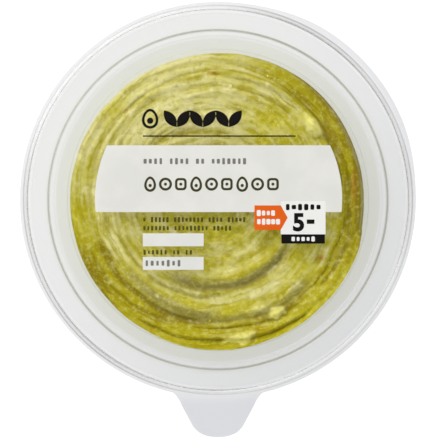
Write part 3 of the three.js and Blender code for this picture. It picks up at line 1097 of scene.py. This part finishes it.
def coarse_top():
    """Every sixth ring and seventh spoke of the dip's top, a little sunk, to scatter on."""
    grid = TOP[3:-8:6, ::7] - (0, 0, SUNK_MM)
    index = np.arange(grid.shape[0] * grid.shape[1]).reshape(grid.shape[:2])
    mesh = bpy.data.meshes.new("coarse_top")
    mesh.from_pydata((grid.reshape(-1, 3) * MM).tolist(), [], grid_faces(index).tolist())
    return mesh


crumb_values = {"Density": CRUMB_DENSITY, "Size": CRUMB_RADIUS_MM * MM, "Seed": CRUMB_SEED}
crumb_values["Finish"] = crumb_finish()
crumbs = run_tree("avocado_crumbs", coarse_top(), crumb_tree(), crumb_values)
crumbs.data.shade_smooth()
print("crumbs", len(crumbs.data.polygons), "faces")

# %% [markdown]
# The label
#
# The label is a clear film disc with printed fields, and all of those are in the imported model. They
# keep their shapes and get ink finishes here. Clear film over food looks a little milky, because
# its adhesive scatters light, so the film is a white surface with a very low alpha. Ink has hardly
# any sheen in this light, or its black would look grey.

# %% Label finishes
INK_ROUGHNESS = 0.42
LABEL_SHEEN = 0.15
INK_SHADOW = 0.85
FILM_COLOUR = (0.86, 0.86, 0.8, 1)


def ink(name, colour, mottle=0.03):
    """Satin ink that is a little uneven. Mottle is how far its tone goes up and down."""
    finish = Finish(name)
    patch = finish.grain(90, detail=3).smooth(0.35, 0.65)
    paler = tuple(min(c * (1 + mottle), 1) for c in colour)
    darker = tuple(c * (1 - mottle) for c in colour)
    base = finish.blend(patch, darker, paler)
    finish.set(Base_Color=base, Roughness=INK_ROUGHNESS, Specular_IOR_Level=LABEL_SHEEN)
    clear_shadow(finish, INK_SHADOW)
    return finish.material


def film_finish():
    finish = Finish("clear_label_film")
    haze = finish.grain(70, detail=3).smooth(0.3, 0.7, 0.003, 0.012)
    finish.set(Base_Color=FILM_COLOUR, Roughness=0.3, Specular_IOR_Level=LABEL_SHEEN, Alpha=haze)
    return finish.material


INKS = {
    "pale": ink("ink_pale_grey", srgb(238, 238, 233)),
    "white": ink("ink_white", srgb(250, 250, 248), 0.01),
    "orange": ink("ink_orange", srgb(239, 103, 24)),
    "black": ink("ink_black", srgb(16, 14, 11)),
    "grey": ink("ink_grey", srgb(128, 127, 122)),
    "olive": ink("ink_olive", srgb(84, 80, 26)),
    "brown": ink("ink_olive_brown", srgb(68, 64, 36)),
}
NODE_FINISHES = {
    "label_film": film_finish(),
    "label_band": INKS["pale"],
    "flash_arrow": INKS["orange"],
    "flash_panel": INKS["white"],
    "flash_bar": INKS["black"],
    "label_field_1": INKS["pale"],
    "label_field_2": INKS["pale"],
}


def refinish(node, material):
    """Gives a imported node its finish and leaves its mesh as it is."""
    for part in bpy.data.objects:
        if part.type == "MESH" and part.name.split(".")[0] == node:
            for slot in part.material_slots:
                slot.material = material
            print(node, "->", material.name)


for node, material in NODE_FINISHES.items():
    refinish(node, material)

# %% [markdown]
# Flat marks
#
# Everything that is printed on top of the fields is a very thin plate. A 2D curve fills its closed
# outlines and leaves a hole where one lies inside another, so a ring or a tile is only two
# outlines. The curve is turned into a mesh before it is moved to its place.

# %% Plate helpers
FILM_TOP = FILM_HIGH[2]
PRINT_TOP = node_box("label_band")[1][2]
MARK_THICKNESS = 0.05


def rounded_box(middle, size, rounding, steps=5):
    """Outline of a rounded rectangle, anticlockwise."""
    (mx, my), (w, h) = middle, (size[0] / 2 - rounding, size[1] / 2 - rounding)
    points = []
    for quarter, (sx, sy) in enumerate([(1, 1), (-1, 1), (-1, -1), (1, -1)]):
        for turn in np.linspace(0, math.pi / 2, steps) + quarter * math.pi / 2:
            x = mx + sx * w + rounding * math.cos(turn)
            y = my + sy * h + rounding * math.sin(turn)
            points.append((x, y))
    return points


def ring(middle, width, height, steps=48, taper=0.0):
    """Outline of an oval. A taper makes its top narrower, as an egg's or an avocado's."""
    turns = np.linspace(0, 2 * math.pi, steps, endpoint=False)
    x = middle[0] + width / 2 * np.cos(turns) * (1 - taper * np.sin(turns))
    return np.stack([x, middle[1] + height / 2 * np.sin(turns)], axis=1)


def curve_to_mesh(curve, shift):
    """Turns a curve into a mesh at its place, which is in mm."""
    holder = new_object(curve.name, curve)
    mesh = plain_mesh(holder)
    bpy.data.objects.remove(holder)
    mesh.transform(Matrix.Translation(Vector(shift) * MM))
    return mesh


def plate_mesh(name, outlines, low):
    """A flat plate from closed outlines in mm. An outline inside another cuts a hole."""
    curve = bpy.data.curves.new(name, "CURVE")
    curve.dimensions = "2D"
    curve.fill_mode = "BOTH"
    curve.extrude = MARK_THICKNESS / 2 * MM
    for points in outlines:
        spline = curve.splines.new("POLY")
        spline.points.add(len(points) - 1)
        for point, (x, y) in zip(spline.points, points):
            point.co = (x * MM, y * MM, 0, 1)
        spline.use_cyclic_u = True
    return curve_to_mesh(curve, (0, 0, low + MARK_THICKNESS / 2))


def flat_shaded(piece):
    tidy_shell(piece)
    piece.data.shade_flat()
    return piece


print("marks lie at", FILM_TOP.round(2), "and", PRINT_TOP.round(2), "mm")

# %% [markdown]
# Small print as rows of marks
#
# A pack carries lines of small print. At this distance they read as rows of little marks, so each
# line here is a row of rounded bars from one Geometry Nodes tree: points on a line, some of them
# left out as word spaces, and a bar on each with its own width and height.

# %% Small print
SMALLEST, LARGEST = (0.72, 0.62, 1.0), (1.0, 1.0, 1.0)
BAR_ROUNDING = 0.3
SPACES = 0.16

# Name, left, right, height, size of a mark, count, what it lies on, ink and share of spaces.
SMALL_PRINT = [
    ("strap_line", -22.7, 8.8, 11.6, (0.95, 2.0), 20, PRINT_TOP, "grey", SPACES),
    ("store_line_1", -22.7, 8.5, -6.0, (0.75, 1.7), 27, FILM_TOP, "olive", SPACES),
    ("store_line_2", -22.7, 4.2, -8.55, (0.75, 1.7), 23, FILM_TOP, "olive", SPACES),
    ("weight_line", -22.7, -7.5, -15.8, (0.75, 1.6), 12, FILM_TOP, "olive", SPACES),
    ("weight_marks", -22.2, -9.3, -19.1, (0.9, 2.0), 8, PRINT_TOP, "grey", SPACES),
    ("arrow_line_1", 11.6, 17.3, -4.0, (1.25, 2.0), 4, PRINT_TOP, "white", 0),
    ("arrow_line_2", 11.6, 18.8, -6.6, (1.25, 1.9), 5, PRINT_TOP, "white", 0),
    ("panel_line", 20.1, 31.2, -2.2, (1.45, 2.0), 6, PRINT_TOP, "black", 0),
    ("bar_line", 21.9, 29.4, -11.8, (1.1, 1.7), 5, PRINT_TOP, "white", 0),
]


def row_tree():
    inputs = {"Count": "Int", "Pitch": "Float", "Gaps": "Float", "Seed": "Int"}
    tree, given, result = node_tree("row_of_marks", inputs)
    across = add_node(tree, "ShaderNodeCombineXYZ", X=given["Pitch"])
    line = add_node(tree, "GeometryNodeMeshLine", Count=given["Count"], Offset=across)
    chance = {"Probability": given["Gaps"], "Seed": given["Seed"]}
    gap = add_node(tree, "FunctionNodeRandomValue", {"data_type": "BOOLEAN"}, **chance)
    kept = add_node(tree, "GeometryNodeDeleteGeometry", Geometry=line, Selection=gap)
    size = random_vector(tree, SMALLEST, LARGEST, given["Seed"])
    inputs = {"Points": kept, "Instance": given["Geometry"], "Scale": size}
    bars = add_node(tree, "GeometryNodeInstanceOnPoints", **inputs)
    return end_tree(tree, given, result, bars)


ROW = row_tree()


def mark_row(seed, name, left, right, height, mark, count, low, colour, gaps):
    """A row of marks from left to right at a height of the label, and its slot."""
    pitch = (right - left) / count
    bar_outline = rounded_box((0, 0), mark, min(mark) * BAR_ROUNDING, 4)
    bar = plate_mesh(name + "_bar", [bar_outline], 0)
    values = {"Count": count, "Pitch": pitch * MM, "Gaps": float(gaps), "Seed": seed}
    piece = run_tree(name, bar, ROW, {**values, "Finish": INKS[colour]})
    shift = Vector((left + pitch / 2, height, low)) * MM
    piece.data.transform(Matrix.Translation(shift))
    return flat_shaded(piece), "print_white" if colour == "white" else "print_dark"


marks = [mark_row(seed, *row) for seed, row in enumerate(SMALL_PRINT, 1)]

# %% [markdown]
# Larger marks
#
# The large word, the mark above the rule and the price are bigger than the small print, so they
# are built one by one. They stay generic: a row of plain outlined signs, a half avocado with a row
# of leaves, the rule below it, and a bold figure with a dash.

# %% Large signs
SIGN_COUNT, SIGN_LEFT, SIGN_PITCH = 9, -20.4, 4.62
SIGN_MIDDLE, SIGN_HEIGHT, SIGN_STROKE = 4.7, 4.1, 0.72
EGG_TAPER = 0.16


def mark_piece(name, mesh, colour):
    """A printed piece of its own, in one ink."""
    mesh.materials.clear()
    mesh.materials.append(INKS[colour])
    return flat_shaded(new_object(name, mesh))


def avocado(middle, outer, inner, stone_drop, stone, stone_steps):
    """A heavy egg-shaped line round a dot. Outer and inner are width and height."""
    lines = [ring(middle, *size, taper=EGG_TAPER) for size in (outer, inner)]
    return lines + [ring((middle[0], middle[1] - stone_drop), stone, stone, stone_steps)]


def sign_outlines(i, x):
    """A half avocado, a round and a tile in turn, each a heavy line round a dot."""
    y, size, inner = SIGN_MIDDLE, SIGN_HEIGHT, SIGN_HEIGHT - 2 * SIGN_STROKE
    if i % 3 == 0:
        return avocado((x, y), (3.5, size + 0.5), (2.1, inner + 0.5), 0.4, 1.0, 20)
    if i % 3 == 1:
        drawn = [ring((x, y), size - 0.2, size - 0.2), ring((x, y), inner - 0.2, inner - 0.2)]
    else:
        drawn = [rounded_box((x, y), (3.5, 3.7), 1.1), rounded_box((x, y), (2.1, 2.3), 0.5)]
    return drawn + [ring((x, y), 0.9, 0.9, 20)]


sign_lines = [
    line for i in range(SIGN_COUNT) for line in sign_outlines(i, SIGN_LEFT + SIGN_PITCH * i)
]
signs = mark_piece("large_signs", plate_mesh("large_signs", sign_lines, PRINT_TOP), "brown")
marks.append((signs, "print_dark"))

# %% Emblem and rule
EMBLEM_MIDDLE = (-20.4, 24.4)
LEAF_COUNT, FIRST_LEAF, LEAF_PITCH = 6, (-14.3, 24.4), 3.9
LEAF_LENGTH, LEAF_WIDTH, LEAF_TURN = 6.4, 3.1, 52
RULE_GROWTH = 1.2


def leaf(middle, turn, steps=17):
    """Outline of a pointed leaf."""
    along = np.linspace(-1, 1, steps)
    edge = 0.5 * LEAF_WIDTH * (1 - along**2)
    upper = np.stack([along * LEAF_LENGTH / 2, edge], axis=1)
    lower = (upper * (1, -1))[::-1][1:-1]
    c, s = math.cos(turn), math.sin(turn)
    return np.vstack([upper, lower]) @ np.array([[c, s], [-s, c]]) + middle


emblem_lines = avocado(EMBLEM_MIDDLE, (4.9, 6.0), (3.3, 4.4), 0.6, 1.9, 48)
for i in range(LEAF_COUNT):
    turn = math.radians(LEAF_TURN if i % 2 else -LEAF_TURN)
    emblem_lines.append(leaf((FIRST_LEAF[0] + LEAF_PITCH * i, FIRST_LEAF[1]), turn))
emblem_mesh = plate_mesh("avocado_emblem", emblem_lines, FILM_TOP)
marks.append((mark_piece("avocado_emblem", emblem_mesh, "black"), "print_dark"))

rule_low, rule_high = node_box("label_rule")
rule_middle = (rule_low + rule_high)[:2] / 2 + (0, 0.05)
rule_size = (rule_high - rule_low)[:2] * (1, RULE_GROWTH)
rule_mesh = plate_mesh("rule_line", [rounded_box(rule_middle, rule_size, 0.05)], FILM_TOP)
rule = mark_piece("rule_line", rule_mesh, "black")

# %% Price
FIGURE_SIZE, FIGURE_WEIGHT = 7.2, 0.28
FIGURE_PLACE = (24.3, -9.2)

figure_curve = bpy.data.curves.new("price_figure", "FONT")
figure_curve.body = "5"
figure_curve.size = FIGURE_SIZE * MM
figure_curve.align_x = "CENTER"
figure_curve.offset = FIGURE_WEIGHT * MM
figure_curve.extrude = MARK_THICKNESS / 2 * MM
figure_mesh = curve_to_mesh(figure_curve, (*FIGURE_PLACE, PRINT_TOP + MARK_THICKNESS / 2))
dash_mesh = plate_mesh("price_dash", [rounded_box((27.9, -6.6), (2.3, 1.3), 0.15)], PRINT_TOP)
marks.append((mark_piece("price_figure", figure_mesh, "black"), "print_dark"))
marks.append((mark_piece("price_dash", dash_mesh, "black"), "print_dark"))

# %% [markdown]
# The stage
#
# A clear pack vanishes on a white table. Product photographers cut a grey card to the outline of
# the pack and lay it underneath, so the plastic reads a little darker than the white around it.
# Here the card is a painted shadow of the pack, and its glow is brighter at the upper left and
# dimmer at the lower right, as a shadow cast from the upper-left light would be.
# The same card is used here. Table and card glow, so the white stays white without a shadow, as in
# a cut-out photo. Two soft shades darken the card a little, one under the tub and one under the
# tab.

# %% Stage
TABLE_HALF_MM = 2500
TABLE_HEIGHT, CARD_HEIGHT = -0.3, -0.1
WHITE_GLOW = (1.02, 1.02, 1.02)
# The card's glow is a painted shadow of the tub: brighter at the upper left, dimmer at the lower
# right.
UPPER_LEFT_GLOW = (0.825, 0.82, 0.825)
LOWER_RIGHT_GLOW = (0.717, 0.717, 0.73)
# A painted shadow is full at the first radius in m and gone at the second. Its tint comes last.
PAINTED_CONTACT_SHADOW = (0.0495, 0.0535, (0.87, 0.88, 0.81))
PAINTED_TAB_SHADOW = (0.0645, 0.0605, (0.9, 0.905, 0.93))
CARD_TURN = math.radians(45)
GLOW_REACH_M = 0.06


def glow_finish(name, albedo, colours, turn, shades=()):
    """A surface that glows between two colours along one direction."""
    finish = Finish(name)
    x, y = finish.across(turn)
    glow = finish.blend(x.smooth(-GLOW_REACH_M, GLOW_REACH_M), *colours)
    radius = (x * x + y * y).root()
    for near, far, shade in shades:
        glow = finish.blend(radius.smooth(far, near), glow, shade, "MULTIPLY")
    finish.set(
        Base_Color=(albedo, albedo, albedo, 1),
        Roughness=1.0,
        Specular_IOR_Level=0.0,
        Emission_Color=glow,
        Emission_Strength=1.0,
    )
    return finish.material


def stage_piece(name, points, height, finish):
    mesh = bpy.data.meshes.new(name)
    mesh.from_pydata([(x * MM, y * MM, height * MM) for x, y in points], [], [range(len(points))])
    mesh.materials.append(finish)
    piece = new_object(name, mesh)
    print(name, "of", len(points), "points at", height, "mm")


def card_points():
    """The lid's outline as the camera throws it on the table."""
    right = tab_outline()[::-1]
    left = right * (-1, 1)
    start = math.atan2(right[-1, 1], right[-1, 0])
    turns = np.linspace(start, math.pi - start, 200)
    reach = TRIM_RADIUS + trim_bulge(turns)
    arc = np.stack([np.cos(turns), np.sin(turns)], axis=1) * reach[:, None]
    rim = np.vstack([right, arc, left[::-1]])
    eye = np.array(camera.location) / MM
    throw = eye[2] / (eye[2] - TRIM_HEIGHT)
    return eye[:2] + (rim - eye[:2]) * throw


table_points = [
    (x * TABLE_HALF_MM, y * TABLE_HALF_MM) for x, y in ((-1, -1), (1, -1), (1, 1), (-1, 1))
]
table_look = glow_finish("white_table", 0.1, (WHITE_GLOW, WHITE_GLOW), 0)
card_glows, card_painted_shadows = (UPPER_LEFT_GLOW, LOWER_RIGHT_GLOW), [PAINTED_CONTACT_SHADOW, PAINTED_TAB_SHADOW]
card_look = glow_finish("grey_card", 0.12, card_glows, CARD_TURN, card_painted_shadows)
stage_piece("white_table", table_points, TABLE_HEIGHT, table_look)
stage_piece("grey_card", card_points(), CARD_HEIGHT, card_look)

# %% [markdown]
# The light
#
# The main light is a large soft one from the upper left, and a weak one fills in from the right.
# The sky is grey all round and dark straight overhead. The panel of the lid mirrors that part of
# it to the camera, and a bright one there would lay a milky veil over the dip.

# %% Light
LIGHT_TARGET = Vector((0, 0, 0.03))
# Upwards share of the direction, and the grey level of the sky there.
SKY_STOPS = [(0.0, 0.6), (0.35, 0.56), (0.75, 0.6), (0.93, 0.36), (0.97, 0.04)]


def soft_light(name, place, size, power, colour):
    """A round lamp at a place in m that points at the tub."""
    data = bpy.data.lights.new(name, "AREA")
    data.shape = "DISK"
    data.size = size
    data.energy = power
    data.color = colour
    light = new_object(name, data)
    light.location = place
    aim = LIGHT_TARGET - Vector(place)
    light.rotation_euler = aim.to_track_quat("-Z", "Y").to_euler()
    print(name, round(aim.length, 2), "m away,", power, "W")


def sky():
    world = bpy.data.worlds.new("studio_sky")
    world.use_nodes = True
    tree = world.node_tree
    tree.nodes.clear()
    place = add_node(tree, "ShaderNodeTexCoord").outputs["Generated"]
    upwards = add_node(tree, "ShaderNodeSeparateXYZ", {}, place).outputs["Z"]
    level = add_node(tree, "ShaderNodeValToRGB", {"stops": SKY_STOPS}, upwards)
    backdrop = add_node(tree, "ShaderNodeBackground", {}, level)
    add_node(tree, "ShaderNodeOutputWorld", {}, backdrop)
    bpy.context.scene.world = world


soft_light("upper_left_light", (-0.56, 0.6, 0.94), 1.1, 9.0, (1.0, 0.985, 0.95))
soft_light("right_fill", (0.9, -0.35, 0.8), 0.8, 1.2, (0.95, 0.98, 1.0))
sky()

# %% [markdown]
# Hand over
#
# Each piece is tied to the imported model: it rides on the root, and the imported node that it
# stands in for is hidden.

# %% Hand over
PIECES = [
    (tub, "tub", "tub_plastic"),
    (dip, "guacamole", "guacamole"),
    (crumbs, None, "guacamole"),
    (lid, "lid", "lid_plastic"),
    (rule, "label_rule", "print_dark"),
    *[(piece, None, slot) for piece, slot in marks],
]
for piece, node, slot in PIECES:
    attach(piece, "root")
    if node:
        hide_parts(node)
triangles = sum(sum(len(f.vertices) - 2 for f in p.data.polygons) for p, _, _ in PIECES)
print(len(PIECES), "pieces,", triangles, "triangles")


def plain(bounds):
    return [[float(v) for v in corner] for corner in bounds]
